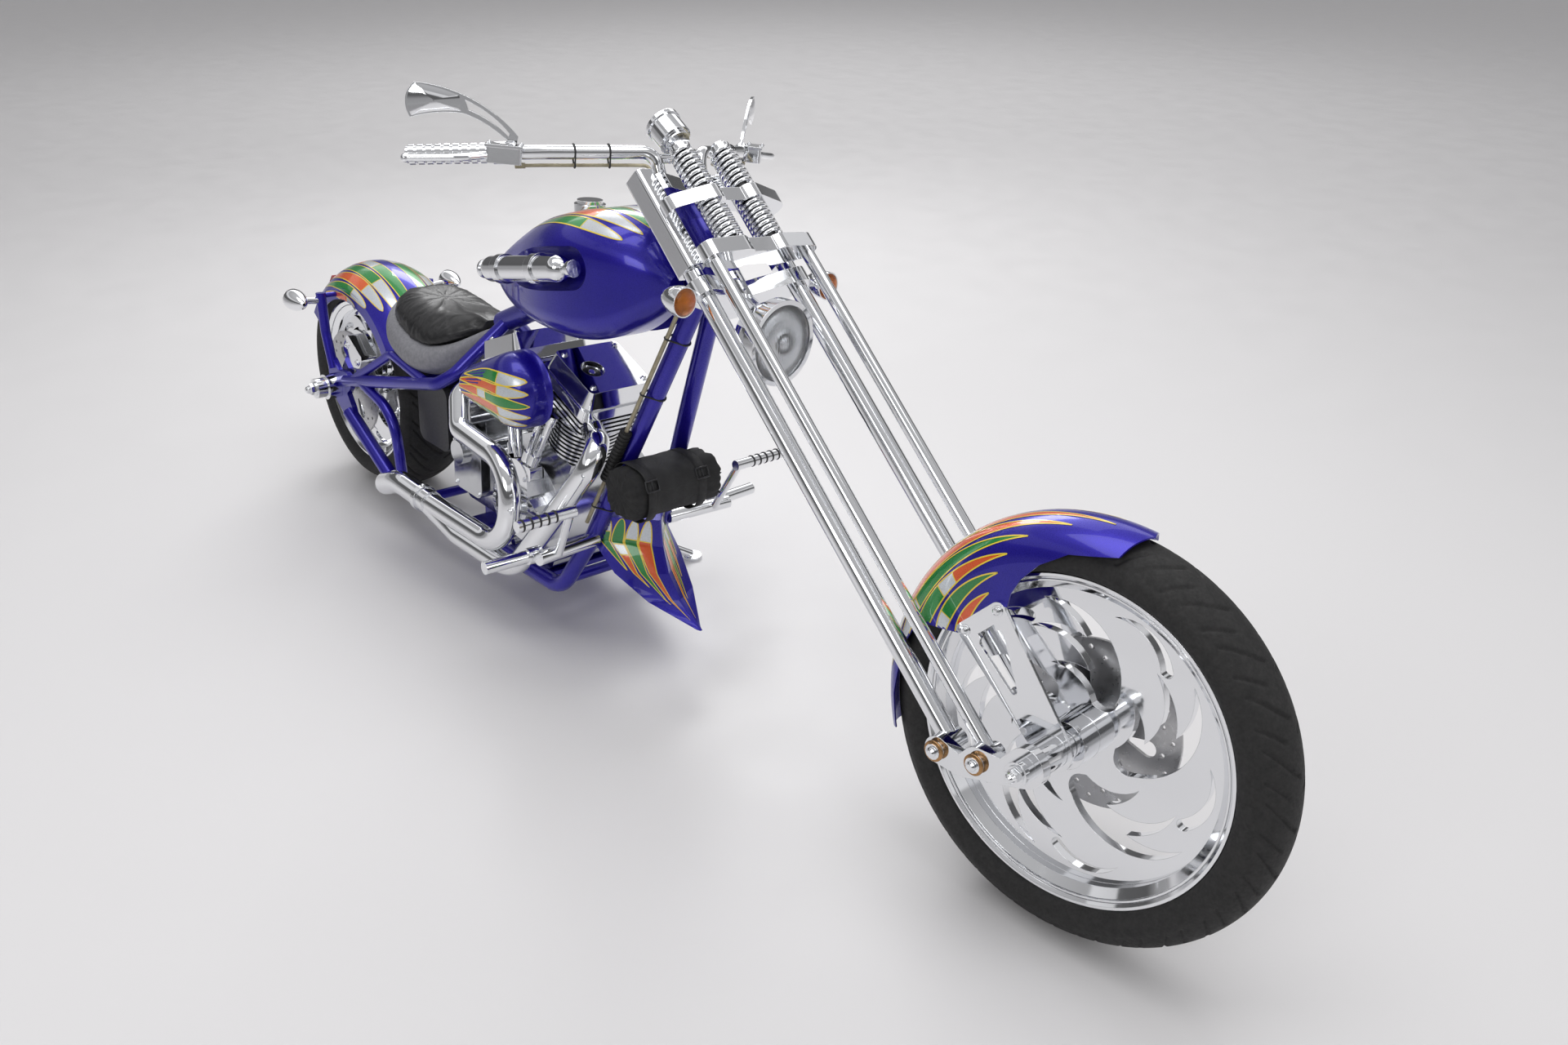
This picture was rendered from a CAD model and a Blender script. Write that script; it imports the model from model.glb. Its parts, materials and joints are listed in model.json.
"""Looks of the long-fork motorcycle: finishes, treads, springs, soft goods, stripes, fittings and studio."""
import json
import math

import bpy
import numpy as np
from mathutils import Matrix, Vector
from mathutils.bvhtree import BVHTree


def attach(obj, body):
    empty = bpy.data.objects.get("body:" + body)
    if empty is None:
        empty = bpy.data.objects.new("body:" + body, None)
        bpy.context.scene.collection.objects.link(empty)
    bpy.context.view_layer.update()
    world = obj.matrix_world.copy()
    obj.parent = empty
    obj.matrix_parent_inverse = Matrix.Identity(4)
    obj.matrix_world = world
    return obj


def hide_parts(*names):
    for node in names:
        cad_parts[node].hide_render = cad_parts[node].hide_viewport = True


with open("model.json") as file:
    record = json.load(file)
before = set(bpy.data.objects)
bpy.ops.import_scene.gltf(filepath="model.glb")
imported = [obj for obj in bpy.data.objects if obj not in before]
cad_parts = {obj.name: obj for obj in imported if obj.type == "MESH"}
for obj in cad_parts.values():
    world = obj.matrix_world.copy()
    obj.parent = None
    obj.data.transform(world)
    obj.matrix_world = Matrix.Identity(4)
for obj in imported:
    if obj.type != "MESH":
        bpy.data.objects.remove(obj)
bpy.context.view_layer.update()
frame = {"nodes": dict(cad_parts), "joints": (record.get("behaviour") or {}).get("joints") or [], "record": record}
NODES = frame["nodes"]
JOINTS = {joint["name"]: joint for joint in frame["joints"]}
SLOTS = {part["node"]: part["material_slot"] for part in frame["record"]["subparts"]}

# Layout of the upright machine, in millimetres and degrees
REAR_R = 306
FRONT_R = 351
WHEELBASE = 2288
RAKE = 48.64
AXLE_OFFSET = 187
STEER_REST = 4.2
CAMERA_FROM_REAR_AXLE = (3.108, -1.3927, 1.2707)
CAMERA_YAW = 2.3918
CAMERA_PITCH = -0.4953
LENS_MM = 28.13


def bike_matrix():
    """From upright millimetres (X ahead, Y left, Z up from the ground) to the row frame."""
    joint = JOINTS["rear_wheel_spin"]
    side = Vector(joint["axis"]).normalized()
    ahead = (Vector((1, 0, 0)) - side * side.x).normalized()
    up = ahead.cross(side)
    turn = Matrix((ahead, side, up)).transposed().to_4x4()
    return Matrix.Translation(Vector(joint["pos_m"]) - up * REAR_R / 1000) @ turn @ Matrix.Scale(0.001, 4)


RAKE_SIN = math.sin(math.radians(RAKE))
RAKE_COS = math.cos(math.radians(RAKE))
AHEAD = Vector((RAKE_COS, 0, RAKE_SIN))
UP = Vector((-RAKE_SIN, 0, RAKE_COS))
STEER_POINT = Vector((WHEELBASE, 0, FRONT_R)) - AHEAD * AXLE_OFFSET
BIKE = bike_matrix()
STEER = (BIKE @ Matrix.Translation(STEER_POINT) @ Matrix.Rotation(math.radians(STEER_REST), 4, UP)
         @ Matrix.Translation(-STEER_POINT))
REAR_HUB = Vector((0, 0, REAR_R))
FRONT_HUB = Vector((WHEELBASE, 0, FRONT_R))


def fork_point(ahead, side, up):
    """Upright point from the fork's own measures."""
    return STEER_POINT + AHEAD * ahead + UP * up + Vector((0, side, 0))


# Engine: crank middle, half the angle between the cylinders, where the bright fin edges begin
CRANK = Vector((860, 0, 250))
VEE = math.radians(22.5)
FIN_EDGE_M = 0.0785


# Finishes

class Look:
    """One node material and the few ways of adding detail to it."""

    def __init__(self, name, colour, metallic, rough, **more):
        self.mat = bpy.data.materials.new(name)
        self.mat.use_nodes = True
        self.tree = self.mat.node_tree
        self.bsdf = self.tree.nodes["Principled BSDF"]
        self.spot = self.tree.nodes.new("ShaderNodeTexCoord").outputs["Object"]
        self.bsdf.inputs["Base Color"].default_value = (*colour, 1)
        self.bsdf.inputs["Metallic"].default_value = metallic
        self.bsdf.inputs["Roughness"].default_value = rough
        for key, value in more.items():
            self.bsdf.inputs[key.replace("_", " ")].default_value = value

    def node(self, kind, source=None, **values):
        made = self.tree.nodes.new(kind)
        for key, value in values.items():
            made.inputs[key].default_value = value
        if source is not None:
            self.tree.links.new(source, made.inputs[0])
        return made

    def noise(self, scale, detail=3.0):
        return self.node("ShaderNodeTexNoise", self.spot, Scale=scale, Detail=detail).outputs["Fac"]

    def cells(self, scale):
        return self.node("ShaderNodeTexVoronoi", self.spot, Scale=scale).outputs["Distance"]

    def span(self, source, low, high, start=0.3, stop=0.7):
        made = self.node("ShaderNodeMapRange", source)
        for key, value in (("From Min", start), ("From Max", stop), ("To Min", low), ("To Max", high)):
            made.inputs[key].default_value = value
        return made.outputs["Result"]

    def shade(self, source, one, two):
        ramp = self.tree.nodes.new("ShaderNodeValToRGB")
        ramp.color_ramp.elements[0].color = (*one, 1)
        ramp.color_ramp.elements[1].color = (*two, 1)
        ramp.color_ramp.elements[0].position = 0.32
        ramp.color_ramp.elements[1].position = 0.68
        self.tree.links.new(source, ramp.inputs["Fac"])
        self.tree.links.new(ramp.outputs["Color"], self.bsdf.inputs["Base Color"])

    def rough(self, source, low, high):
        self.tree.links.new(self.span(source, low, high), self.bsdf.inputs["Roughness"])

    def soften(self, radius):
        """Round the shaded edges by a radius in metres."""
        made = self.node("ShaderNodeBevel", None, Radius=radius)
        made.samples = 4
        self.tree.links.new(made.outputs["Normal"], self.bsdf.inputs["Normal"])
        return made.outputs["Normal"]

    def bump(self, source, strength, distance, over=None):
        made = self.node("ShaderNodeBump", None, Strength=strength, Distance=distance)
        self.tree.links.new(source, made.inputs["Height"])
        if over is not None:
            self.tree.links.new(over, made.inputs["Normal"])
        self.tree.links.new(made.outputs["Normal"], self.bsdf.inputs["Normal"])


def paint(name, one, two, metallic=0.0, coat=1.0):
    """Lacquered colour with fine flake and slow shade."""
    look = Look(name, one, metallic, 0.3, Coat_Weight=coat, Coat_Roughness=0.03)
    look.shade(look.noise(5.0, 6.0), one, two)
    look.rough(look.noise(900.0), 0.22, 0.4)
    look.bump(look.noise(1400.0, 1.0), 0.04, 0.0004, look.soften(0.0012))
    return look.mat


def metal(name, colour, low, high, grain=60.0, bump=0.0):
    """Metal whose polish varies a little over it."""
    look = Look(name, colour, 1.0, low)
    look.rough(look.noise(grain, 4.0), low, high)
    edge = look.soften(0.0014)
    if bump:
        look.bump(look.noise(grain * 6, 2.0), bump, 0.001, edge)
    return look.mat


def grain(name, one, two, rough, scale, strength):
    """Matt stuff with a raised grain."""
    look = Look(name, one, 0.0, rough)
    look.shade(look.noise(scale * 0.2), one, two)
    look.rough(look.noise(scale * 0.5), rough - 0.08, rough + 0.08)
    look.bump(look.cells(scale), strength, 0.001)
    return look.mat


def weave(name, one, two, scale, rough=0.8, strength=0.5, metallic=0.0):
    """Crossed threads."""
    look = Look(name, one, metallic, rough)
    waves = []
    for direction in ("X", "Z"):
        wave = look.node("ShaderNodeTexWave", look.spot, Scale=scale)
        wave.bands_direction = direction
        waves.append(wave.outputs["Fac"])
    both = look.node("ShaderNodeMath", waves[0])
    both.operation = "MULTIPLY"
    look.tree.links.new(waves[1], both.inputs[1])
    look.shade(look.noise(40.0), one, two)
    look.bump(both.outputs[0], strength, 0.0006)
    return look.mat


def lens(name, colour, scale):
    """Clear moulded lens with fluting."""
    look = Look(name, colour, 0.0, 0.05, Transmission_Weight=0.85, IOR=1.45)
    wave = look.node("ShaderNodeTexWave", look.spot, Scale=scale)
    wave.bands_direction = "Y"
    look.rough(look.noise(200.0), 0.05, 0.11)
    look.bump(wave.outputs["Fac"], 0.35, 0.002)
    return look.mat


def finned(name, lean):
    """Black casting with bright machined fin edges; lean is +1 for the front cylinder, -1 for the rear."""
    look = Look(name, (0.012, 0.012, 0.014), 0.0, 0.4)
    axis = (BIKE.to_3x3() @ Vector((lean * math.sin(VEE), 0, math.cos(VEE)))).normalized()
    normal = look.tree.nodes.new("ShaderNodeTexCoord").outputs["Normal"]

    def vector(kind, source, value, output):
        made = look.node("ShaderNodeVectorMath", source)
        made.operation = kind
        if value is not None:
            made.inputs[1].default_value = value
        return made.outputs[output]

    def maths(kind, source, value):
        made = look.node("ShaderNodeMath", source)
        made.operation = kind
        made.inputs[1].default_value = value
        return made.outputs[0]

    away = vector("SUBTRACT", look.spot, BIKE @ CRANK, "Vector")
    around = vector("CROSS_PRODUCT", away, axis, "Vector")
    far = maths("GREATER_THAN", vector("LENGTH", around, None, "Value"), FIN_EDGE_M)
    flat = maths("ABSOLUTE", vector("DOT_PRODUCT", normal, axis, "Value"), 0.0)
    edge = look.node("ShaderNodeMath", maths("LESS_THAN", flat, 0.3))
    edge.operation = "MULTIPLY"
    look.tree.links.new(far, edge.inputs[1])
    look.shade(edge.outputs[0], (0.012, 0.012, 0.014), (0.70, 0.71, 0.73))
    look.rough(edge.outputs[0], 0.42, 0.16)
    look.tree.links.new(edge.outputs[0], look.bsdf.inputs["Metallic"])
    look.bump(look.noise(900.0), 0.06, 0.0005)
    return look.mat


FINISH = {
    "candy_paint": paint("candy_paint", (0.010, 0.005, 0.28), (0.020, 0.009, 0.40), 0.5, 0.55),
    "chrome": metal("chrome", (0.86, 0.87, 0.89), 0.035, 0.09),
    "black_metal": grain("black_metal", (0.012, 0.012, 0.014), (0.022, 0.022, 0.025), 0.38, 900.0, 0.08),
    "cast_alloy": metal("cast_alloy", (0.66, 0.67, 0.69), 0.12, 0.22, 60.0, 0.02),
    "disc_steel": metal("disc_steel", (0.50, 0.50, 0.51), 0.25, 0.4, 140.0, 0.1),
    "seat_leather": grain("seat_leather", (0.010, 0.010, 0.011), (0.02, 0.02, 0.021), 0.36, 700.0, 0.10),
    "seat_skirt": grain("seat_skirt", (0.19, 0.19, 0.21), (0.25, 0.25, 0.27), 0.5, 600.0, 0.12),
    "bag_fabric": weave("bag_fabric", (0.010, 0.010, 0.011), (0.02, 0.02, 0.02), 260.0),
    "tyre": grain("tyre", (0.013, 0.013, 0.013), (0.022, 0.021, 0.021), 0.72, 420.0, 0.1),
    "belt_rubber": grain("belt_rubber", (0.015, 0.015, 0.015), (0.022, 0.022, 0.022), 0.6, 300.0, 0.15),
    "clear_lens": lens("clear_lens", (0.93, 0.95, 0.97), 60.0),
    "amber_lens": lens("amber_lens", (0.95, 0.30, 0.03), 130.0),
    "red_lens": lens("red_lens", (0.62, 0.01, 0.01), 110.0),
    "mirror_glass": metal("mirror_glass", (0.9, 0.9, 0.92), 0.01, 0.03),
    "braided_hose": weave("braided_hose", (0.34, 0.30, 0.20), (0.5, 0.45, 0.32), 420.0, 0.35, 0.6, 0.6),
}
BRONZE = metal("bronze", (0.42, 0.24, 0.11), 0.22, 0.34)
REFLECTOR = metal("reflector", (0.8, 0.82, 0.85), 0.05, 0.14, 200.0, 0.3)
WEBBING = weave("webbing", (0.014, 0.014, 0.015), (0.026, 0.026, 0.027), 420.0, 0.7)
GRAPHIC = {
    "green": paint("graphic_green", (0.005, 0.20, 0.03), (0.01, 0.30, 0.05), 0.2),
    "orange": paint("graphic_orange", (0.72, 0.09, 0.01), (0.85, 0.14, 0.02), 0.15),
    "silver": paint("graphic_silver", (0.62, 0.66, 0.70), (0.74, 0.77, 0.80), 0.35),
    "pinstripe": paint("graphic_pinstripe", (0.86, 0.62, 0.03), (0.92, 0.70, 0.06), 0.0),
}
CAST = {"front_cylinder": finned("front_fins", 1), "rear_cylinder": finned("rear_fins", -1)}
for name, node in NODES.items():
    node.data.materials.clear()
    node.data.materials.append(CAST.get(name) or FINISH[SLOTS[name]])


# Mesh helpers

def add_mesh(name, verts, faces, body, slot, finish=None, replaces=(), smooth=True):
    """A piece from row-frame points that rides on one body."""
    mesh = bpy.data.meshes.new(name)
    mesh.from_pydata([tuple(v) for v in verts], [], [tuple(f) for f in faces])
    mesh.materials.append(finish or FINISH[slot])
    mesh.polygons.foreach_set("use_smooth", [smooth] * len(mesh.polygons))
    mesh.update()
    obj = bpy.data.objects.new(name, mesh)
    bpy.context.scene.collection.objects.link(obj)
    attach(obj, body)
    if replaces:
        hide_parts(*replaces)
    return obj


def placed(matrix, points):
    """Upright millimetres to the row frame, many points at once."""
    turn = np.array(matrix.to_3x3())
    return np.asarray(points, float).reshape(-1, 3) @ turn.T + np.array(matrix.translation)


def sheet_faces(rows, cols, wrap_rows=False, wrap_cols=False, start=0):
    """Quads of a grid of points listed row by row."""
    faces = []
    for i in range(rows if wrap_rows else rows - 1):
        a = start + i * cols
        b = start + ((i + 1) % rows) * cols
        for j in range(cols if wrap_cols else cols - 1):
            k = (j + 1) % cols
            faces.append((a + j, a + k, b + k, b + j))
    return faces


class Bundle:
    """Many small shapes gathered into one mesh, in upright millimetres."""

    def __init__(self):
        self.verts = []
        self.faces = []

    def add(self, points, faces):
        base = len(self.verts)
        self.verts.extend(tuple(p) for p in points)
        self.faces.extend(tuple(base + k for k in face) for face in faces)

    def lathe(self, at, axis, rows, sides):
        """Turned shape along an axis; rows hold height and radius."""
        aim = Vector(axis).normalized()
        one = aim.orthogonal().normalized()
        two = aim.cross(one)
        points = []
        for height, radius in rows:
            for k in range(sides):
                angle = 2 * math.pi * k / sides
                points.append(Vector(at) + aim * height
                              + (one * math.cos(angle) + two * math.sin(angle)) * radius)
        faces = sheet_faces(len(rows), sides, wrap_cols=True)
        last = (len(rows) - 1) * sides
        faces.append(tuple(range(last, last + sides)))
        faces.append(tuple(reversed(range(sides))))
        self.add(points, faces)

    def bolt(self, at, axis, radius):
        """Round-headed bolt on its washer."""
        rows = ((-0.3, radius * 1.5), (radius * 0.3, radius * 1.5), (radius * 0.3, radius),
                (radius * 0.8, radius), (radius * 1.15, radius * 0.55))
        self.lathe(at, axis, rows, 12)

    def nut(self, at, axis, radius):
        """Six-sided nut with a domed end."""
        self.lathe(at, axis, ((-0.3, radius * 1.25), (radius * 0.25, radius * 1.25)), 16)
        self.lathe(at, axis, ((radius * 0.25, radius), (radius * 0.9, radius)), 6)
        self.lathe(at, axis, ((radius * 0.9, radius * 0.8), (radius * 1.5, radius * 0.62),
                              (radius * 1.75, radius * 0.25)), 14)

    def pipe(self, path, radius, sides=10, closed=False):
        """Round tube along points."""
        path = [Vector(p) for p in path]
        count = len(path)
        lead = (path[1] - path[0]).orthogonal().normalized()
        points = []
        for i, here in enumerate(path):
            ahead = path[(i + 1) % count] if closed else path[min(i + 1, count - 1)]
            behind = path[i - 1] if closed or i else path[0]
            aim = (ahead - behind).normalized()
            lead = (lead - aim * lead.dot(aim)).normalized()
            other = aim.cross(lead)
            for k in range(sides):
                angle = 2 * math.pi * k / sides
                points.append(here + (lead * math.cos(angle) + other * math.sin(angle)) * radius)
        faces = sheet_faces(count, sides, closed, True)
        if not closed:
            faces.append(tuple(reversed(range(sides))))
            faces.append(tuple(range((count - 1) * sides, count * sides)))
        self.add(points, faces)

    def make(self, name, matrix, body, slot, **more):
        return add_mesh(name, placed(matrix, self.verts), self.faces, body, slot, **more)


# Tyres with cut tread

def arc_through(a, b, c, count):
    """Points of the arc from a through b to c."""
    (ax, ay), (bx, by), (cx, cy) = a, b, c
    d = 2 * (ax * (by - cy) + bx * (cy - ay) + cx * (ay - by))
    ux = ((ax * ax + ay * ay) * (by - cy) + (bx * bx + by * by) * (cy - ay)
          + (cx * cx + cy * cy) * (ay - by)) / d
    uy = ((ax * ax + ay * ay) * (cx - bx) + (bx * bx + by * by) * (ax - cx)
          + (cx * cx + cy * cy) * (bx - ax)) / d
    radius = math.hypot(ax - ux, ay - uy)
    start = math.atan2(ay - uy, ax - ux)
    middle = (math.atan2(by - uy, bx - ux) - start + math.pi) % (2 * math.pi) - math.pi
    stop = (math.atan2(cy - uy, cx - ux) - start + math.pi) % (2 * math.pi) - math.pi
    if middle * stop < 0:
        stop += math.copysign(2 * math.pi, middle)
    angles = [start + stop * i / (count - 1) for i in range(count)]
    return [(ux + radius * math.cos(t), uy + radius * math.sin(t)) for t in angles]


def treaded_tyre(name, node, hub, body, matrix, size, tread):
    """Tyre with the CAD section and grooves cut into its crown."""
    radius, crown, half, shoulder, side_r, lip_r, lip_half = size
    pitches, depth, width, lean, around = tread
    edge = radius - crown + math.sqrt(crown ** 2 - shoulder ** 2)
    top = arc_through((-shoulder, edge), (0, radius), (shoulder, edge), 57)
    wall = arc_through((shoulder, edge), (half, side_r), (lip_half + 7, lip_r + 2), 17)[1:]
    inner = [(lip_half - 1, lip_r + 1), (lip_half - 1, lip_r - 8)]
    right = wall + inner
    profile = [(-y, r) for y, r in reversed(right)] + top + right
    profile = np.array(profile)
    across = profile[:, 0]
    height = profile[:, 1]
    theta = np.linspace(0, 2 * math.pi, around, endpoint=False)
    s = across / shoulder
    on_crown = np.zeros(len(profile))
    on_crown[len(right):len(right) + len(top)] = 1.0
    cut = np.zeros((around, len(profile)))
    step = 2 * math.pi / pitches
    for side in (1, -1):
        mine = (s * side > 0.0) * on_crown
        reach = np.clip(s * side, 0, 1)
        for share, begin, stop, bow in ((0.0, 0.06, 0.97, 1.0), (0.5, 0.42, 1.0, 0.8)):
            offset = step * (share + (0.25 if side < 0 else 0.0))
            line = theta[:, None] - offset - lean * bow * reach[None, :] ** 1.5
            gap = np.abs((line + step / 2) % step - step / 2) * radius
            groove = np.clip(1.5 - gap / width, 0, 1)
            ends = np.clip((reach - begin) / 0.03, 0, 1) * np.clip((stop - reach) / 0.03, 0, 1)
            cut = np.maximum(cut, groove * (ends * mine)[None, :])
    ring = np.zeros(len(profile))
    for share, sunk in ((0.32, 0.9), (0.62, 0.7)):
        ring += np.exp(-((height - (lip_r + share * (radius - lip_r))) / 1.6) ** 2) * (1 - on_crown) * sunk
    deep = height[None, :] - cut * depth - ring[None, :]
    x = hub.x + deep * np.cos(theta)[:, None]
    z = hub.z + deep * np.sin(theta)[:, None]
    y = np.broadcast_to(across[None, :], x.shape)
    points = np.stack([x, y, z], axis=-1).reshape(-1, 3)
    faces = sheet_faces(around, len(profile), wrap_rows=True)
    return add_mesh(name, placed(matrix, points), faces, body, "tyre", replaces=(node,))


# Sizes: radius, crown radius, half width, shoulder, side height, lip radius, half width at the lip
# Treads: pitches, groove depth, groove width, lean in radians, steps round the tyre
treaded_tyre("front_tyre_tread", "front_tyre", FRONT_HUB, "front_wheel", STEER,
             (FRONT_R, 58, 58, 52, 300, 276, 38), (26, 4.0, 3.0, 0.16, 900))
treaded_tyre("rear_tyre_tread", "rear_tyre", REAR_HUB, "rear_wheel", BIKE,
             (REAR_R, 130, 103, 86, 246, 221, 84), (22, 4.5, 3.2, 0.30, 800))


# Fork springs: low and high ends up the fork, middle, radii and turns
SPRING_ENDS = ((1030, 1116), (1144, 1238))
SPRING_AHEAD = 102
SPRING_SIDE = 50
COIL_R = 22
WIRE_R = 3.9
CORE_R = 14
COIL_TURNS = 8


def wound_springs():
    """Four wound coils between the bridge, the perch and the rod caps."""
    coils = Bundle()
    cores = Bundle()
    steps = COIL_TURNS * 22
    for low, high in SPRING_ENDS:
        for side in (SPRING_SIDE, -SPRING_SIDE):
            path = []
            for i in range(steps + 1):
                share = i / steps
                angle = 2 * math.pi * COIL_TURNS * share
                ahead = SPRING_AHEAD + COIL_R * math.cos(angle)
                up = low + WIRE_R + (high - low - 2 * WIRE_R) * share
                path.append(fork_point(ahead, side + COIL_R * math.sin(angle), up))
            coils.pipe(path, WIRE_R, 8)
            ends = [fork_point(SPRING_AHEAD, side, up) for up in (low, high)]
            cores.pipe(ends, CORE_R, 20)
    cores.make("spring_cores", STEER, "steering", "black_metal")
    coils.make("fork_coils", STEER, "steering", "chrome", replaces=("fork_springs",))


wound_springs()


# Painted scallops laid on the bodywork, in millimetres over it
COLOUR_LIFT = 0.35
SEAM_LIFT = 0.6
EDGE_LIFT = 0.65
LINE_HALF = 1.2
RAY_START = 400
RAY_LENGTH_M = 0.7


class Skin:
    """Surface of one CAD node that stripes lie on, reached by two measures in millimetres."""

    def __init__(self, node, matrix, body, aim, mesh=None):
        mesh = mesh or NODES[node].data
        self.tree = BVHTree.FromPolygons([v.co for v in mesh.vertices], [p.vertices for p in mesh.polygons])
        self.matrix = matrix
        self.back = matrix.inverted()
        self.turn = matrix.to_3x3()
        self.node = node
        self.body = body
        self.aim = aim
        self.layers = {}

    def spot(self, u, v, lift):
        """Point over the surface in upright millimetres, or None where the ray misses."""
        start, way = self.aim(u, v)
        aim = (self.turn @ way).normalized()
        hit, normal, _, _ = self.tree.ray_cast(self.matrix @ start, aim, RAY_LENGTH_M)
        if hit is None:
            return None
        if normal.dot(aim) > 0:
            normal = -normal
        return self.back @ (hit + normal * (lift / 1000))

    def sheet(self, colour, rows, lift):
        """Grid of measures as one sheet of colour over the surface."""
        spots = [[self.spot(u, v, lift) for u, v in row] for row in rows]
        wide = len(rows[0])
        faces = [face for face in sheet_faces(len(rows), wide)
                 if all(spots[k // wide][k % wide] is not None for k in face)]
        points = [p if p is not None else Vector((0, 0, 0)) for row in spots for p in row]
        used = sorted({k for face in faces for k in face})
        place = {k: i for i, k in enumerate(used)}
        bundle = self.layers.setdefault(colour, Bundle())
        bundle.add([points[k] for k in used], [tuple(place[k] for k in face) for face in faces])

    def scallop(self, root, tip, bow, width, bands):
        """Long tapered scallop with a yellow line round it; bands hold start share and colour."""
        root = Vector(root)
        run = Vector(tip) - root
        side = Vector((-run.y, run.x)).normalized()
        steps = 44
        middle = []
        for i in range(steps + 1):
            t = i / steps
            middle.append(root + run * t + side * (bow * 4 * t * (1 - t)))
        half = [width / 2 * math.sin(math.pi * (i / steps) ** 0.62) ** 0.85 for i in range(steps + 1)]
        across = []
        for i in range(steps + 1):
            aim = middle[min(i + 1, steps)] - middle[max(i - 1, 0)]
            across.append(Vector((-aim.y, aim.x)).normalized())
        stops = [share for share, _ in bands] + [1.0]
        for k, (share, colour) in enumerate(bands):
            rows = []
            for i in range(round(share * steps), round(stops[k + 1] * steps) + 1):
                rows.append([middle[i] + across[i] * (half[i] * s / 4) for s in range(-4, 5)])
            self.sheet(colour, rows, COLOUR_LIFT)
        for way in (1, -1):
            rows = []
            for i in range(steps + 1):
                edge = middle[i] + across[i] * (way * half[i])
                rows.append([edge - across[i] * LINE_HALF, edge + across[i] * LINE_HALF])
            self.sheet("pinstripe", rows, EDGE_LIFT)
        for share, _ in bands[1:]:
            i = round(share * steps)
            rows = [[middle[i] + across[i] * (half[i] * s / 4) + run.normalized() * (k * LINE_HALF)
                     for s in range(-4, 5)] for k in (-1, 1)]
            self.sheet("pinstripe", rows, SEAM_LIFT)

    def make(self):
        for colour, bundle in self.layers.items():
            bundle.make(self.node + "_" + colour, self.matrix, self.body, "candy_paint",
                        finish=GRAPHIC[colour])


def fender_aim(hub, crown, half, rise, start):
    """Measures along a fender from its front angle, and across it from its crown."""
    ball = (half ** 2 + rise ** 2) / (2 * rise)
    bend = math.asin(half / ball)
    side = Vector((0, 1, 0))

    def aim(u, v):
        angle = math.radians(start) + u / crown
        out = Vector((math.cos(angle), 0, math.sin(angle)))
        past = abs(v) - bend * ball
        if past > 0:
            seat = hub + out * (crown - rise - past)
            way = side * math.copysign(1, v)
        else:
            seat = hub + out * (crown - ball)
            way = out * math.cos(v / ball) + side * math.sin(v / ball)
        return seat + way * RAY_START, -way

    return aim


# Tank: radius that turns measures into angles, and the line through its middle
TANK_ROUND = 140
TANK_X = 784
TANK_Z = 782
TANK_SLOPE = 0.178


def tank_aim(u, v):
    """Measures along the tank, and round it from its top."""
    turn = v / TANK_ROUND
    way = Vector((0, math.sin(turn), math.cos(turn)))
    return Vector((u, 0, TANK_Z + TANK_SLOPE * (u - TANK_X))) + way * RAY_START, -way


def cover_aim(u, v):
    """Side view of the air cleaner."""
    return Vector((u, -420, v)), Vector((0, 1, 0))


# Spoiler sections: height, ridge x, rear x, half width
SPOILER_ROWS = ((322, 1217, 1126, 94), (262, 1227, 1106, 100), (205, 1250, 1180, 92), (160, 1293, 1262, 62),
                (118, 1370, 1361, 6))
PROW_SPAN = 120


def spoiler_aim(u, v):
    """Measures down the prow, and from its ridge towards the rear on either side."""
    z = SPOILER_ROWS[0][0] - u
    low = next((k for k in range(1, 4) if SPOILER_ROWS[k][0] <= z), 4)
    above = SPOILER_ROWS[low - 1]
    below = SPOILER_ROWS[low]
    share = (above[0] - z) / (above[0] - below[0])
    ridge, rear, half = (a + (b - a) * share for a, b in zip(above[1:], below[1:]))
    side = math.copysign(1, v)
    edge = Vector((rear - ridge, half, 0))
    where = Vector((ridge, 0, z)) + Vector((edge.x, side * edge.y, 0)) * (abs(v) / PROW_SPAN)
    way = Vector((half, side * (ridge - rear), 0)).normalized()
    return where + way * 200, -way


# Air cleaner: middle and radius of its two ends, depths of its wall, height of its dome
COVER_FRONT = (Vector((935, 0, 566)), 84)
COVER_REAR = (Vector((806, 0, 548)), 44)
COVER_WALL = (-137.2, -160, -172)
COVER_DOME = 62


def teardrop():
    """Smooth dome over the air cleaner's outline."""
    run = COVER_REAR[0] - COVER_FRONT[0]
    base = math.atan2(run.z, run.x)
    open_half = math.acos((COVER_FRONT[1] - COVER_REAR[1]) / run.length)
    turns = []
    for k in range(49):
        turns.append((COVER_FRONT, base + open_half + (2 * math.pi - 2 * open_half) * k / 48))
    for k in range(25):
        turns.append((COVER_REAR, base - open_half + 2 * open_half * k / 24))
    depths = [(1.0, y) for y in COVER_WALL]
    for i in range(1, 15):
        turn = math.pi / 2 * i / 14
        depths.append((math.cos(turn), COVER_WALL[-1] - COVER_DOME * math.sin(turn)))
    points = []
    for share, y in depths:
        for (centre, radius), turn in turns:
            out = max(share, 0.004) * radius
            points.append(centre + Vector((out * math.cos(turn), y, out * math.sin(turn))))
    faces = sheet_faces(len(depths), len(turns), wrap_cols=True)
    faces.append(tuple(range(len(turns))))
    last = (len(depths) - 1) * len(turns)
    faces.append(tuple(reversed(range(last, last + len(turns)))))
    return add_mesh("air_cleaner_dome", placed(BIKE, points), faces, "chassis", "candy_paint",
                    replaces=("air_cleaner",))


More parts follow.
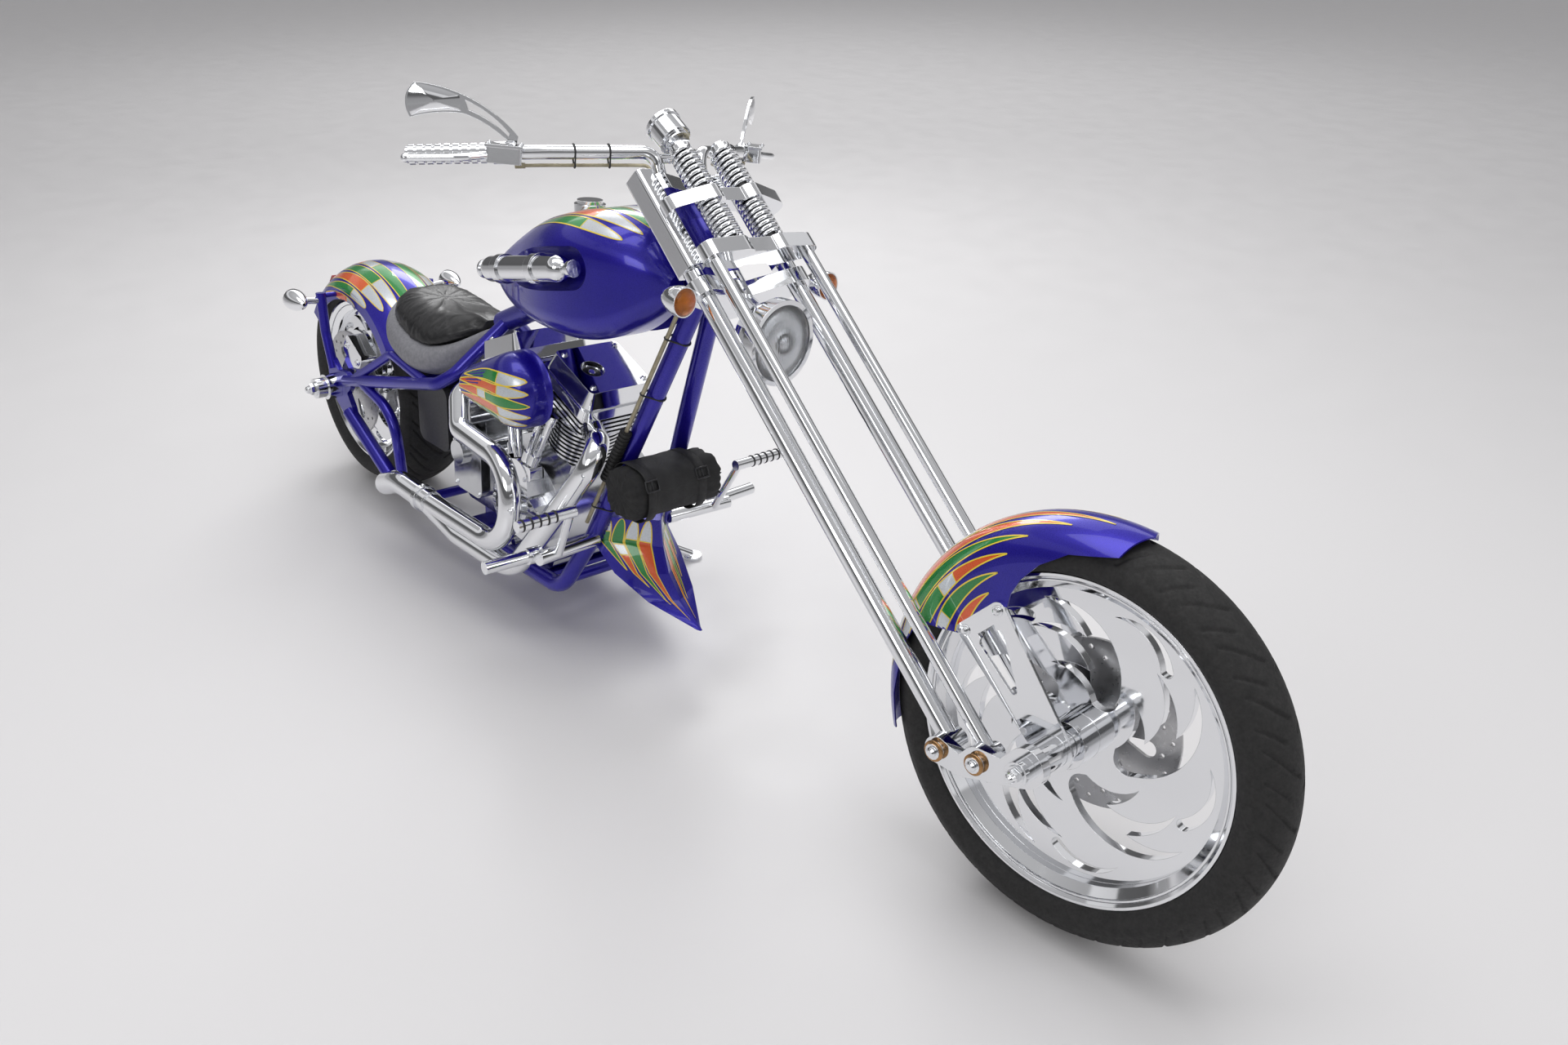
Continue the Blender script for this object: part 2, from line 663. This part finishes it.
# Stripe tables: root, tip, bow, width, bands of start share and colour
GREEN_TIP = ((0, "silver"), (0.3, "green"))
ORANGE_TIP = ((0, "silver"), (0.28, "orange"))
MIXED = ((0, "green"), (0.45, "silver"), (0.6, "orange"))
FRONT_STRIPES = (
    ((690, 30), (60, 16), 4, 26, MIXED), ((640, 62), (120, 42), 8, 26, ORANGE_TIP),
    ((600, 92), (190, 68), 8, 26, GREEN_TIP), ((560, 122), (230, 94), 8, 25, MIXED),
    ((510, 152), (260, 120), 8, 23, GREEN_TIP), ((470, 182), (300, 146), 6, 19, ORANGE_TIP))
REAR_STRIPES = (
    ((70, 30), (600, 18), 6, 30, MIXED), ((96, 66), (575, 50), 8, 30, GREEN_TIP),
    ((130, 100), (550, 82), 8, 29, ORANGE_TIP), ((180, 134), (520, 112), 8, 26, GREEN_TIP),
    ((250, 166), (480, 140), 6, 20, ORANGE_TIP))
TANK_STRIPES = (
    ((1255, 32), (740, 16), 6, 28, GREEN_TIP), ((1245, 66), (770, 46), 8, 28, MIXED),
    ((1235, 100), (810, 76), 8, 27, ORANGE_TIP), ((1215, 132), (860, 104), 8, 22, GREEN_TIP))
PROW_STRIPES = (
    ((2, 22), (190, 34), 4, 22, ORANGE_TIP), ((2, 48), (168, 52), 4, 22, GREEN_TIP),
    ((2, 74), (140, 70), 4, 21, MIXED), ((4, 100), (112, 88), 4, 18, GREEN_TIP))
COVER_STRIPES = (
    ((1004, 606), (800, 574), -10, 26, GREEN_TIP), ((1012, 582), (784, 560), -8, 26, ORANGE_TIP),
    ((1014, 556), (778, 546), -8, 26, MIXED), ((1008, 530), (786, 532), -6, 25, ORANGE_TIP),
    ((992, 508), (802, 518), -4, 22, GREEN_TIP))


def paint_scallops():
    """Stripes of every painted panel; fenders by hub, crown radius, half width, rise and front angle."""
    front = Skin("front_fender", STEER, "steering", fender_aim(FRONT_HUB, FRONT_R + 15, 75, 66, 82.5))
    rear = Skin("rear_fender", BIKE, "chassis", fender_aim(REAR_HUB, REAR_R + 12, 117, 60, 32))
    tank = Skin("fuel_tank", BIKE, "chassis", tank_aim)
    prow = Skin("chin_spoiler", BIKE, "chassis", spoiler_aim)
    cover = Skin("air_cleaner", BIKE, "chassis", cover_aim, teardrop().data)
    sets = ((front, FRONT_STRIPES), (rear, REAR_STRIPES), (tank, TANK_STRIPES), (prow, PROW_STRIPES))
    for skin, stripes in sets:
        for side in (1, -1):
            for (u, v), (end_u, end_v), bow, width, bands in stripes:
                skin.scallop((u, v * side), (end_u, end_v * side), bow * side, width, bands)
    for root, tip, bow, width, bands in COVER_STRIPES:
        cover.scallop(root, tip, bow, width, bands)
    for skin in (front, rear, tank, prow, cover):
        skin.make()


paint_scallops()


# Soft goods

def node_copy(name, node, voxel):
    """Even copy of a soft CAD solid, as a new object in row-frame metres."""
    obj = bpy.data.objects.new(name, NODES[node].data.copy())
    bpy.context.scene.collection.objects.link(obj)
    remesh = obj.modifiers.new("even", "REMESH")
    remesh.mode = "VOXEL"
    remesh.voxel_size = voxel
    return bake(obj)


def bake(obj):
    """Put an object's modifiers into its mesh."""
    graph = bpy.context.evaluated_depsgraph_get()
    mesh = bpy.data.meshes.new_from_object(obj.evaluated_get(graph))
    obj.modifiers.clear()
    obj.data = mesh
    return obj


def points_of(mesh):
    flat = np.empty(len(mesh.vertices) * 3)
    mesh.vertices.foreach_get("co", flat)
    return flat.reshape(-1, 3)


def normals_of(mesh):
    flat = np.empty(len(mesh.vertices) * 3)
    mesh.vertices.foreach_get("normal", flat)
    return flat.reshape(-1, 3)


def set_points(mesh, points):
    mesh.vertices.foreach_set("co", points.ravel())
    mesh.update()


def filled(obj, pressure, shrink, cap):
    """Swell a slightly shrunken copy as stuffed cloth, with its moves limited."""
    rest = points_of(obj.data)
    start = rest - normals_of(obj.data) * shrink
    set_points(obj.data, start)
    cloth = obj.modifiers.new("fill", "CLOTH")
    cloth.settings.use_pressure = True
    cloth.settings.uniform_pressure_force = pressure
    cloth.settings.mass = 0.3
    cloth.settings.effector_weights.gravity = 0
    scene = bpy.context.scene
    for step in range(1, 21):
        scene.frame_set(step)
    graph = bpy.context.evaluated_depsgraph_get()
    moved = points_of(obj.evaluated_get(graph).data)
    obj.modifiers.clear()
    scene.frame_set(1)
    shift = moved - start
    length = np.linalg.norm(shift, axis=1, keepdims=True)
    set_points(obj.data, start + shift * np.minimum(1, cap / np.maximum(length, 1e-9)))


def finish_soft(obj, node, slot):
    """Smooth, dress and declare one stuffed piece."""
    obj.modifiers.new("smooth", "SUBSURF").levels = 1
    bake(obj)
    obj.data.materials.clear()
    obj.data.materials.append(FINISH[slot])
    obj.data.polygons.foreach_set("use_smooth", [True] * len(obj.data.polygons))
    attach(obj, "chassis")
    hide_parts(node)


def upright(points):
    """Row-frame metres back to upright millimetres."""
    return placed(BIKE.inverted(), points)


def crease(values, width):
    """Narrow rounded ridges wherever a sine passes zero."""
    return np.exp(-(np.sin(values) / width) ** 2)


# Seat pad: middle and half sizes
SEAT_X = 400
SEAT_HALF = (170, 125)


def seat_cushion():
    """Gathered leather pad with folds that spread from its middle."""
    pad = node_copy("seat_cushion", "seat_pad", 0.0045)
    filled(pad, 4.0, 0.002, 0.006)
    spots = upright(points_of(pad.data))
    out = normals_of(pad.data)
    x = spots[:, 0] - SEAT_X
    y = spots[:, 1]
    angle = np.arctan2(y, x + 70)
    reach = np.hypot(x / SEAT_HALF[0], y / SEAT_HALF[1])
    wander = 0.35 * np.sin(x / 31) + 0.3 * np.sin(y / 23 + 1)
    folds = crease(4.5 * angle + wander + 0.9 * reach, 0.30) * np.clip(1.25 - reach, 0, 1)
    folds += 0.7 * crease(8.5 * angle + 1.7 * wander + 1.3, 0.32) * np.clip(reach - 0.3, 0, 1) * 1.3
    gather = np.sin(46 * angle) * np.exp(-((reach - 0.96) / 0.1) ** 2)
    seam = -1.2 * np.exp(-(y / 5) ** 2) * (np.abs(x) < 120)
    top = np.clip(out @ np.array(BIKE.to_3x3() @ Vector((0, 0, 1000))), 0, 1)
    lift = (3.4 * folds + 1.1 * gather + seam) * top / 1000
    set_points(pad.data, points_of(pad.data) + out * lift[:, None])
    finish_soft(pad, "seat_pad", "seat_leather")


# Tool roll: middle, half sizes, corner radius, then its straps, flap and buckles
BAG = Vector((1250, -17, 424))
BAG_HALF = (61, 115, 56)
BAG_CORNER = 46
STRAPS_AT = (-78, 52)
STRAP_HALF = 11
STRAP_STEPS = 64
FLAP_ROWS = 13
FLAP_COLS = 31
BUCKLE_TURN = math.radians(28)
BUCKLE_HALF = (11, 15)


def bag_ring(turn, swell):
    """Point of the bag's rounded section at one angle, seen along its length."""
    wide, high = BAG_HALF[0] - BAG_CORNER, BAG_HALF[2] - BAG_CORNER
    c, s = math.cos(turn), math.sin(turn)
    return (math.copysign(wide, c) * min(1, abs(c) * 4) + (BAG_CORNER + swell) * c,
            math.copysign(high, s) * min(1, abs(s) * 4) + (BAG_CORNER + swell) * s)


def bag_point(turn, along, swell):
    """Point over the bag's skin at one angle, some way along from its middle."""
    dx, dz = bag_ring(turn, swell)
    return Vector((BAG.x + dx, BAG.y + along, BAG.z + dz))


def tool_roll():
    """Fabric roll with gathered ends, sagging a little."""
    roll = node_copy("tool_roll", "tool_bag", 0.0045)
    filled(roll, 3.0, 0.003, 0.006)
    spots = upright(points_of(roll.data))
    out = normals_of(roll.data)
    along = (spots[:, 1] - BAG.y) / BAG_HALF[1]
    x = spots[:, 0] - BAG.x
    z = spots[:, 2] - BAG.z
    turn = np.arctan2(z, x)
    ends = np.clip((np.abs(along) - 0.55) / 0.45, 0, 1)
    pleats = np.sin(13 * turn + 2 * np.sin(3 * turn)) * ends ** 1.5
    sag = crease(3.2 * along + 0.8 * np.sin(2 * turn) + 0.6 * np.sin(x / 18), 0.22) * (1 - ends)
    lift = (2.2 * pleats - 2.0 * ends ** 3 + 1.6 * sag - 0.8) / 1000
    set_points(roll.data, points_of(roll.data) + out * lift[:, None])
    finish_soft(roll, "tool_bag", "bag_fabric")


def roll_straps():
    """Two webbing bands round the roll, and the flap under them."""
    straps = Bundle()
    for y in STRAPS_AT:
        points = []
        for side, swell in ((-1, 2.2), (1, 2.2), (1, 4.0), (-1, 4.0)):
            for k in range(STRAP_STEPS):
                points.append(bag_point(2 * math.pi * k / STRAP_STEPS, y + side * STRAP_HALF, swell))
        straps.add(points, sheet_faces(4, STRAP_STEPS, True, True))
    flap = []
    turns = [math.radians(-28 + 150 * k / (FLAP_COLS - 1)) for k in range(FLAP_COLS)]
    for swell in (1.4, 3.0):
        for j in range(FLAP_ROWS):
            along = -66 + 108 * j / (FLAP_ROWS - 1)
            flap += [bag_point(turn, along, swell + 0.5 * math.sin(5 * turn + j)) for turn in turns]
    layer = FLAP_ROWS * FLAP_COLS
    last = FLAP_COLS - 1
    faces = sheet_faces(FLAP_ROWS, FLAP_COLS)
    faces += [tuple(reversed(face)) for face in sheet_faces(FLAP_ROWS, FLAP_COLS, start=layer)]
    rim = list(range(FLAP_COLS))
    rim += [FLAP_COLS * j + last for j in range(1, FLAP_ROWS)]
    rim += [layer - 2 - k for k in range(last)]
    rim += [FLAP_COLS * j for j in range(FLAP_ROWS - 2, 0, -1)]
    faces += [(a, b, b + layer, a + layer) for a, b in zip(rim, rim[1:] + rim[:1])]
    straps.add(flap, faces)
    straps.make("roll_straps", BIKE, "chassis", "bag_fabric", finish=WEBBING)


def roll_buckles():
    """Wire frame with a bar on the front of each strap."""
    rings = Bundle()
    high, wide = BUCKLE_HALF
    up = Vector((-math.sin(BUCKLE_TURN), 0, math.cos(BUCKLE_TURN)))
    side = Vector((0, 1, 0))
    corners = ((-1, -1), (-1, 0), (-1, 1), (0, 1.05), (1, 1), (1, 0), (1, -1), (0, -1.05))
    for y in STRAPS_AT:
        middle = bag_point(BUCKLE_TURN, y, 5.0)
        rings.pipe([middle + up * a * high + side * b * wide for a, b in corners], 2.0, 8, closed=True)
        rings.pipe([middle - up * high, middle + up * high], 1.6, 8)
    rings.make("roll_buckles", BIKE, "chassis", "black_metal")


seat_cushion()
tool_roll()
roll_straps()
roll_buckles()


# Fittings: bar, grip and hand control on the left, headlight, downtube on the right

BAR_INNER = fork_point(50, 55, 1282)
GRIP_ROOT = fork_point(-15, 250, 1338)
GRIP_TIP = fork_point(-131, 425, 1431)
GRIP_AIM = (GRIP_TIP - GRIP_ROOT).normalized()
CONTROL = GRIP_TIP - GRIP_AIM * 168
CONTROL_AHEAD = Vector((GRIP_AIM.y, -GRIP_AIM.x, 0)).normalized()
CONTROL_OUT = Vector((GRIP_AIM.x, GRIP_AIM.y, 0)).normalized()
LAMP = fork_point(29, 0, 868)
BAR_TIE = fork_point(45, 0, 1271)
MIRROR_FOOT = CONTROL + Vector((-6, 3, 3))
DOWNTUBE_TOP = Vector((1365.8, -15, 892.5))
DOWNTUBE_FOOT = Vector((1104, -95, 262))
RIGHT = (0, -1, 0)
LEFT = (0, 1, 0)
FIVE = tuple(90 + 72 * k for k in range(5))

# Cover bolts: middle x and z, radius of the bolt circle, angles
CAM_BOLTS = ((832, 256, 64, (125, 160, 195, 230, 262)), (900, 232, 46, (-85, -35, 15, 60)),
             (862, 330, 35, (10, 165)))
CAM_CAP_BOLTS = ((832, 256, 40, FIVE),)
PRIMARY_BOLTS = ((860, 250, 86, (-100, -60, -20, 20, 60, 100)),
                 (606, 284, 94, (80, 116, 152, 188, 224, 262)))
CLUTCH_CAP_BOLTS = ((606, 284, 48, FIVE),)


def polar(hub, radius, angle, y=0):
    """Point beside a wheel hub at an angle from straight ahead."""
    turn = math.radians(angle)
    return hub + Vector((radius * math.cos(turn), y, radius * math.sin(turn)))


def lean_point(side, x, y, up):
    """Point from the crank along one cylinder, +1 front and -1 rear."""
    sine, cosine = side * math.sin(VEE), math.cos(VEE)
    return Vector((CRANK.x + cosine * x + sine * up, y, CRANK.z - sine * x + cosine * up))


def flip(point, side):
    """Point on its own side, or mirrored to the right with a side of -1."""
    return Vector((point.x, point.y * side, point.z))


def steering_fittings():
    """Bolts of the fork, brackets, caliper and hand controls, and the bronze washers."""
    bolts = Bundle()
    bronze = Bundle()
    for side in (1, -1):
        out = (0, side, 0)
        for ahead, up in ((45, 86), (106, 39)):
            bronze.lathe(fork_point(ahead, side * 166, up), out, ((-0.3, 18), (2.4, 18), (3.2, 17)), 28)
            bolts.bolt(fork_point(ahead, side * 169, up), out, 9)
        bolts.nut(FRONT_HUB + Vector((0, side * 186, 0)), out, 12)
        for angle in (128, 147):
            bolts.bolt(polar(FRONT_HUB, 232, angle, side * 81), out, 6.5)
        for along in (-28, 28):
            for over in (-14, 14):
                spot = CONTROL + CONTROL_OUT * along + CONTROL_AHEAD * (24 + over) + Vector((0, 0, 17.5))
                bolts.bolt(flip(spot, side), (0, 0, 1), 2.6)
    middle = polar(FRONT_HUB, 124, 204, 92)
    for step in (-34, 34):
        bolts.bolt(polar(middle, step, 294), LEFT, 6)
    bolts.make("steering_bolts", STEER, "steering", "chrome", smooth=False)
    bronze.make("pivot_washers", STEER, "steering", "chrome", finish=BRONZE)


def cover_bolts(bundle, table, y, axis, radius):
    """Bolts on circles, at one depth of a cover."""
    for x, z, circle, angles in table:
        for angle in angles:
            bundle.bolt(polar(Vector((x, 0, z)), circle, angle, y), axis, radius)


def chassis_fittings():
    """Bolts of the engine covers and axle, exhaust clamp, medallions and toe rubbers."""
    bolts = Bundle()
    dark = Bundle()
    cover_bolts(bolts, CAM_BOLTS, -136, RIGHT, 4)
    cover_bolts(bolts, CAM_CAP_BOLTS, -154, RIGHT, 3)
    dark.lathe((832, -150, 256), RIGHT, ((-0.3, 33), (0.4, 33)), 40)
    for x in (-52, 52):
        for z in (-56, 56):
            bolts.bolt((616 + x, -122, 268 + z), RIGHT, 4.5)
    cover_bolts(bolts, PRIMARY_BOLTS, 186, LEFT, 4.5)
    cover_bolts(bolts, CLUTCH_CAP_BOLTS, 194, LEFT, 3.6)
    for side in (1, -1):
        up = lean_point(side, 0, 0, 1) - lean_point(side, 0, 0, 0)
        for x in (-58, 58):
            for y in (-66, 66):
                bolts.bolt(lean_point(side, x, y, 391), up, 5)
        dark.lathe(lean_point(side, 0, -30, 377), up, ((-0.3, 20), (3, 20), (4.5, 17)), 36)
        bolts.lathe(lean_point(side, 0, -30, 381), up, ((0, 8), (2, 8), (3, 6)), 24)
        bolts.nut(REAR_HUB + Vector((0, side * 224, 0)), (0, side, 0), 15)
        for k in range(5):
            ring = ((0, 12.2), (1, 13.4), (4, 13.4), (5, 12.2))
            dark.lathe((1212, side * (262 + 19 * k), 398), (0, side, 0), ring, 24)
    middle = polar(REAR_HUB, 118, 58, -140)
    for step in (-32, 32):
        bolts.bolt(polar(middle, step, 148), RIGHT, 6)
    bolts.lathe((590, -232, 205.5), (1, 0, 0), ((0, 29.4), (0, 33), (16, 33), (16, 29.4)), 40)
    bolts.bolt((598, -232, 239), (0, 0, 1), 4)
    bolts.make("chassis_bolts", BIKE, "chassis", "chrome", smooth=False)
    dark.make("chassis_inserts", BIKE, "chassis", "black_metal")


def band(bundle, here, aim, side, large, reach, small, wire):
    """Closed wire loop round a tube and the cable that lies at its side."""
    other = aim.cross(side)
    loop = []
    for k in range(17):
        turn = math.radians(90 + 180 * k / 16)
        loop.append(here + (side * math.cos(turn) + other * math.sin(turn)) * large)
    for k in range(13):
        turn = math.radians(-90 + 180 * k / 12)
        loop.append(here + side * reach + (side * math.cos(turn) + other * math.sin(turn)) * small)
    bundle.pipe(loop, wire, 8, closed=True)


def cable_clips():
    """Bands that hold the right-hand cable to the downtube and the bar cables to the bar."""
    clips = Bundle()
    run = DOWNTUBE_FOOT - DOWNTUBE_TOP
    aim = run.normalized()
    side = Vector((-0.2, -1, 0))
    side = (side - aim * side.dot(aim)).normalized()
    for share in (0.22, 0.42, 0.86):
        band(clips, DOWNTUBE_TOP + run * share, aim, side, 20.4, 30.3, 6, 2.0)
    clips.make("cable_clips", BIKE, "chassis", "black_metal")
    ties = Bundle()
    aim = (BAR_INNER - GRIP_ROOT).normalized()
    drop = aim.cross(GRIP_TIP - GRIP_ROOT).normalized()
    if drop.z > 0:
        drop = -drop
    for along in (60, 125):
        for side in (1, -1):
            here = flip(GRIP_ROOT + aim * along, side)
            band(ties, here, flip(aim, side), flip(drop, side), 14.4, 22.7, 4.9, 1.6)
    ties.make("bar_cable_ties", STEER, "steering", "black_metal")


def gauge_dial():
    """Plain dial with ticks and a needle."""
    aim = Vector((-0.86, 0, 0.51)).normalized()
    side = Vector((0, 1, 0))
    up = side.cross(aim)
    if up.z < 0:
        up = -up
    centre = BAR_TIE + Vector((-34, 0, 45)) + aim * 19
    face = Bundle()
    face.lathe(centre, aim, ((0.03, 28.4), (0.10, 28.4)), 48)
    face.make("gauge_face", STEER, "steering", "black_metal")
    marks = Bundle()

    def mark(turn, low, high, half):
        way = side * math.sin(turn) + up * math.cos(turn)
        cross = aim.cross(way)
        spots = [centre + aim * 0.16 + way * r + cross * (s * half)
                 for r, s in ((low, -1), (low, 1), (high, 1), (high, -1))]
        marks.add(spots, [(0, 1, 2, 3)])

    for k in range(31):
        mark(math.radians(-135 + 9 * k), 20 if k % 5 == 0 else 23, 26.5, 0.8 if k % 5 == 0 else 0.4)
    mark(math.radians(-128), -5, 21, 0.7)
    marks.make("gauge_marks", STEER, "steering", "chrome", finish=GRAPHIC["silver"])


# Mirror outlines from the foot: outwards and upwards
MIRROR_BACK = (arc_through((72, 60), (73, 74), (75, 86), 6)
               + arc_through((75, 86), (112, 95.5), (151, 100), 14)[1:]
               + arc_through((151, 100), (165.5, 73), (158, 45), 9)[1:]
               + arc_through((158, 45), (117, 56), (72, 60), 14)[1:-1])
MIRROR_GLASS = (arc_through((74, 80), (112, 89), (149, 95), 14)
                + arc_through((149, 95), (160, 73), (154, 51), 8)[1:]
                + arc_through((154, 51), (117, 60), (74, 63), 14)[1:])


def mirror_point(x, z, ahead, side):
    """Point of one mirror: outwards, upwards and ahead from its foot."""
    return flip(MIRROR_FOOT + CONTROL_OUT * x + Vector((0, 0, z)) + CONTROL_AHEAD * ahead, side)


def mirror_faces():
    """Glass on the rider's side of both mirror blades, and a domed back on the other."""
    glass = Bundle()
    for side in (1, -1):
        spots = [mirror_point(x, z, -3.3, side) for x, z in MIRROR_GLASS]
        glass.add(spots, [tuple(range(len(spots)))])
    glass.make("mirror_faces", STEER, "steering", "chrome", finish=FINISH["mirror_glass"])
    backs = Bundle()
    middle = Vector((sum(x for x, _ in MIRROR_BACK), sum(z for _, z in MIRROR_BACK))) / len(MIRROR_BACK)
    shares = (1.0, 0.9, 0.75, 0.6, 0.45, 0.3, 0.15, 0.02)
    for side in (1, -1):
        spots = []
        for share in shares:
            for corner in MIRROR_BACK:
                x, z = middle + (Vector(corner) - middle) * share
                spots.append(mirror_point(x, z, 3.05 + 6 * (1 - share ** 2), side))
        backs.add(spots, sheet_faces(len(shares), len(MIRROR_BACK), wrap_cols=True))
    backs.make("mirror_backs", STEER, "steering", "chrome")


def lamp_inside():
    """Reflector and bulb seen through the headlight lens."""
    inside = Bundle()
    inside.lathe(LAMP + Vector((20.1, 0, 0)), (1, 0, 0), ((0, 70), (0.4, 70), (0.8, 40), (0.3, 18)), 64)
    inside.lathe(LAMP + Vector((20.2, 0, 0)), (1, 0, 0), ((0, 17), (3, 17), (8, 13), (11, 8), (12, 3)), 32)
    inside.make("lamp_reflector", STEER, "steering", "chrome", finish=REFLECTOR)


steering_fittings()
chassis_fittings()
cable_clips()
gauge_dial()
mirror_faces()
lamp_inside()


# Studio: floor, lights, camera
FLOOR_HALF_M = 30
WORLD_STRENGTH = 0.62

# Light levels of the room from straight down to straight up: share of the way, level
ROOM_LEVELS = ((0.0, 0.5), (0.495, 0.56), (0.505, 0.52), (0.54, 0.48), (0.58, 0.16), (0.69, 0.18),
               (0.70, 1.0), (0.78, 1.15), (0.79, 0.6), (1.0, 0.9))

# Lights: name, place, target, size in metres, power in watts
LIGHTS = (("ceiling", (0.3, -0.3, 4.2), (0, 0, 0), (4.5, 2.2), 70),
          ("key", (1.6, -4.2, 3.0), (0, 0, 0.5), (2.2, 1.6), 36),
          ("front", (4.6, 1.2, 2.4), (0.6, 0, 0.5), (1.6, 2.2), 24),
          ("back", (-3.0, 2.2, 3.0), (0, 0, 0.5), (2.0, 1.2), 46),
          ("far", (-5.2, 4.8, 4.5), (-5.2, 4.8, 0), (8.0, 8.0), 185))


def studio_floor():
    """Plain pale floor with a soft sheen."""
    look = Look("studio_floor", (0.75, 0.74, 0.745), 0.0, 0.38)
    look.rough(look.noise(6.0), 0.34, 0.42)
    look.bump(look.noise(60.0, 2.0), 0.02, 0.003)
    mesh = bpy.data.meshes.new("studio_floor")
    corners = [(x * FLOOR_HALF_M, y * FLOOR_HALF_M, 0) for x, y in ((-1, -1), (1, -1), (1, 1), (-1, 1))]
    mesh.from_pydata(corners, [], [(0, 1, 2, 3)])
    mesh.materials.append(look.mat)
    floor = bpy.data.objects.new("studio_floor", mesh)
    bpy.context.scene.collection.objects.link(floor)


def light(name, where, target, size, power):
    """Soft panel that shines on a target and that the camera doesn't see."""
    data = bpy.data.lights.new(name, "AREA")
    data.shape = "RECTANGLE"
    data.size, data.size_y = size
    data.energy = power
    obj = bpy.data.objects.new(name, data)
    obj.location = where
    obj.rotation_euler = (Vector(target) - Vector(where)).to_track_quat("-Z", "Y").to_euler()
    obj.visible_camera = False
    bpy.context.scene.collection.objects.link(obj)


def studio_world():
    """Soft room: pale low, darker band at the horizon, bright ceiling."""
    world = bpy.data.worlds.new("studio")
    bpy.context.scene.world = world
    world.use_nodes = True
    tree = world.node_tree
    spot = tree.nodes.new("ShaderNodeTexCoord")
    parts = tree.nodes.new("ShaderNodeSeparateXYZ")
    ramp = tree.nodes.new("ShaderNodeValToRGB")
    span = tree.nodes.new("ShaderNodeMapRange")
    span.inputs["From Min"].default_value = -1
    tree.links.new(spot.outputs["Generated"], parts.inputs[0])
    tree.links.new(parts.outputs["Z"], span.inputs[0])
    tree.links.new(span.outputs[0], ramp.inputs[0])
    while len(ramp.color_ramp.elements) < len(ROOM_LEVELS):
        ramp.color_ramp.elements.new(0.5)
    for element, (where, level) in zip(ramp.color_ramp.elements, ROOM_LEVELS):
        element.position = where
        element.color = (level, level * 0.995, level * 1.01, 1)
    back = tree.nodes["Background"]
    tree.links.new(ramp.outputs[0], back.inputs["Color"])
    back.inputs["Strength"].default_value = WORLD_STRENGTH


def photo_camera():
    """Camera at the photograph's place and angle."""
    data = bpy.data.cameras.new("photo_camera")
    data.lens = LENS_MM
    data.sensor_width = 36
    camera = bpy.data.objects.new("photo_camera", data)
    camera.location = Vector(JOINTS["rear_wheel_spin"]["pos_m"]) + Vector(CAMERA_FROM_REAR_AXLE)
    level = math.cos(CAMERA_PITCH)
    view = Vector((level * math.cos(CAMERA_YAW), level * math.sin(CAMERA_YAW), math.sin(CAMERA_PITCH)))
    camera.rotation_euler = view.to_track_quat("-Z", "Y").to_euler()
    bpy.context.scene.collection.objects.link(camera)
    bpy.context.scene.camera = camera


studio_floor()
studio_world()
for row in LIGHTS:
    light(*row)
photo_camera()
bpy.context.scene.view_settings.view_transform = "Standard"
